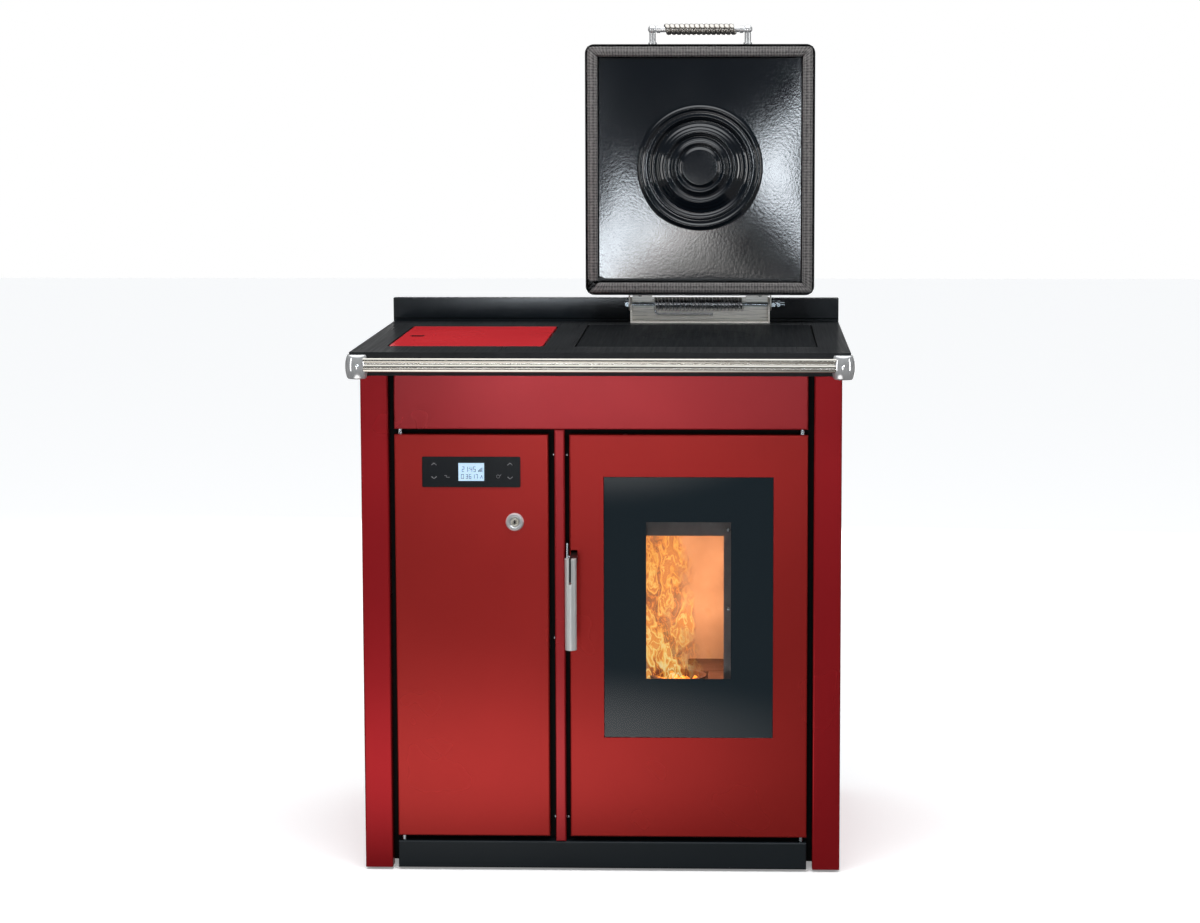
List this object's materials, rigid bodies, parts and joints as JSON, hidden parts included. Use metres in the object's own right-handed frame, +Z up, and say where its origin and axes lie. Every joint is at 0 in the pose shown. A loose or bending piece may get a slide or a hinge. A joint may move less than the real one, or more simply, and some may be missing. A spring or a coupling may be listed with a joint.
{
  "type": "pellet range cooker",
  "caption": "Pellet-fired range cooker with a glazed fire door, a technical door, a cast iron hob under a sprung cover and a hopper lid.",
  "frame": {"origin": "on the floor, under the middle of the bounding box", "axes": "+X to the right seen from the front, +Y to the rear, +Z up"},
  "size_m": [0.818, 0.6844, 1.3932],
  "materials": {
    "red_paint": "satin",
    "door_red_paint": "satin",
    "grey_paint": "satin",
    "black_paint": "satin",
    "black_top": "satin",
    "splash_paint": "satin",
    "hob_iron": "fine cast, blacked",
    "inner_iron": "heat-proof black",
    "stainless": "brushed lengthwise",
    "bracket_steel": "satin",
    "grip_steel": "satin",
    "chrome": "polished",
    "spring_steel": "oiled",
    "zinc": "zinc plated",
    "galvanised": "galvanised sheet",
    "boiler_steel": "matt heat-proof",
    "fire_steel": "heat-proof, sooty",
    "enamel": "glossy black enamel",
    "shell_enamel": "satin black enamel",
    "rope": "braided grey glass rope",
    "door_rope": "braided glass rope",
    "lid_rubber": "soft black",
    "panel_black": "gloss black",
    "screen": "lit display",
    "lever_black": "matt black",
    "door_glass": "clear glass ceramic",
    "glass_print": "dark print on the glass",
    "fire_clay": "heat-proof slab",
    "cast_alloy": "cast",
    "motor_black": "satin",
    "pump_red": "satin",
    "vessel_red": "gloss",
    "socket_black": "moulded"
  },
  "bodies": {
    "cabinet": {"base_tray": "galvanised", "levelling_feet": "motor_black", "plinth": "grey_paint", "left_side_panel": "red_paint", "right_side_panel": "red_paint", "front_fascia": "red_paint", "centre_stile": "red_paint", "front_frame": "black_paint", "rear_panel": "galvanised", "partition_wall": "galvanised", "door_hinge_pins": "zinc", "worktop": "black_top", "upstand": "splash_paint", "front_rail": "stainless", "left_rail_corner": "chrome", "right_rail_corner": "chrome", "pellet_hopper": "galvanised", "cover_hinge_base": "bracket_steel", "hinge_rod": "zinc", "hinge_spring": "spring_steel", "boiler_shell": "boiler_steel", "firebox": "fire_steel", "firebox_lining": "fire_clay", "burn_pot": "inner_iron", "ash_drawer": "fire_steel", "auger_tube": "galvanised", "auger_motor": "motor_black", "smoke_fan": "cast_alloy", "circulation_pump": "pump_red", "expansion_vessel": "vessel_red", "flue_and_pipes": "galvanised", "power_inlet": "socket_black"},
    "hob_plate": {"hob_plate": "hob_iron"},
    "hob_ring": {"hob_ring": "hob_iron"},
    "hob_disc": {"hob_disc": "hob_iron"},
    "hopper_lid": {"hopper_lid": "red_paint", "hopper_lid_seal": "lid_rubber"},
    "hob_cover": {"cover_shell": "shell_enamel", "cover_liner": "enamel", "cover_seal": "rope", "cover_hinge_strap": "bracket_steel", "cover_handle_posts": "chrome", "cover_handle_coil": "chrome"},
    "technical_door": {"technical_door": "door_red_paint", "technical_door_back": "galvanised", "control_bezel": "panel_black", "control_screen": "screen", "lock_body": "chrome"},
    "door_lock": {"lock_barrel": "zinc"},
    "fire_door": {"fire_door": "door_red_paint", "door_glass": "door_glass", "glass_border": "glass_print", "door_casting": "inner_iron", "door_seal": "door_rope", "glass_clip": "galvanised"},
    "door_handle": {"door_grip": "grip_steel", "handle_lever": "lever_black", "latch_tongue": "zinc"},
    "auger": {"auger_screw": "galvanised"},
    "fan_rotor": {"fan_impeller": "galvanised"}
  },
  "joints": [
    {"name": "technical_door_hinge", "type": "hinge", "parent": "cabinet", "child": "technical_door", "pos_m": [-0.3265, -0.27275, 0.39025], "axis": [0, 0, -1], "range_deg": [0, 110]},
    {"name": "lock_turn", "type": "hinge", "parent": "technical_door", "child": "door_lock", "pos_m": [-0.1402, -0.28275, 0.5799], "axis": [0, -1, 0], "range_deg": [0, 90]},
    {"name": "fire_door_hinge", "type": "hinge", "parent": "cabinet", "child": "fire_door", "pos_m": [0.3265, -0.27275, 0.39025], "axis": [0, 0, 1], "range_deg": [0, 110]},
    {"name": "door_handle_lift", "type": "hinge", "parent": "fire_door", "child": "door_handle", "pos_m": [-0.0489, -0.27625, 0.521], "axis": [-1, 0, 0], "range_deg": [0, 25]},
    {"name": "hob_cover_hinge", "type": "hinge", "parent": "cabinet", "child": "hob_cover", "pos_m": [0.153, 0.25725, 0.893], "axis": [1, 0, 0], "range_deg": [0, 90], "stiffness_Nm_per_rad": 6, "springref_deg": -20.05},
    {"name": "hopper_lid_hinge", "type": "hinge", "parent": "cabinet", "child": "hopper_lid", "pos_m": [-0.1035, -0.01875, 0.857], "axis": [0, 1, 0], "range_deg": [0, 95]},
    {"name": "hob_plate_lift", "type": "slide", "parent": "cabinet", "child": "hob_plate", "axis": [0, 0, -1], "range_m": [-0.12, 0]},
    {"name": "hob_ring_lift", "type": "slide", "parent": "hob_plate", "child": "hob_ring", "axis": [0, 0, -1], "range_m": [-0.1, 0]},
    {"name": "hob_disc_lift", "type": "slide", "parent": "hob_ring", "child": "hob_disc", "axis": [0, 0, -1], "range_m": [-0.08, 0]},
    {"name": "auger_spin", "type": "hinge", "parent": "cabinet", "child": "auger", "pos_m": [-0.2855, -0.10269, 0.372], "axis": [0.866, 0, 0.5], "continuous": true},
    {"name": "fan_spin", "type": "hinge", "parent": "cabinet", "child": "fan_rotor", "pos_m": [-0.21, 0.16425, 0.178], "axis": [0, 1, 0], "continuous": true}
  ]
}
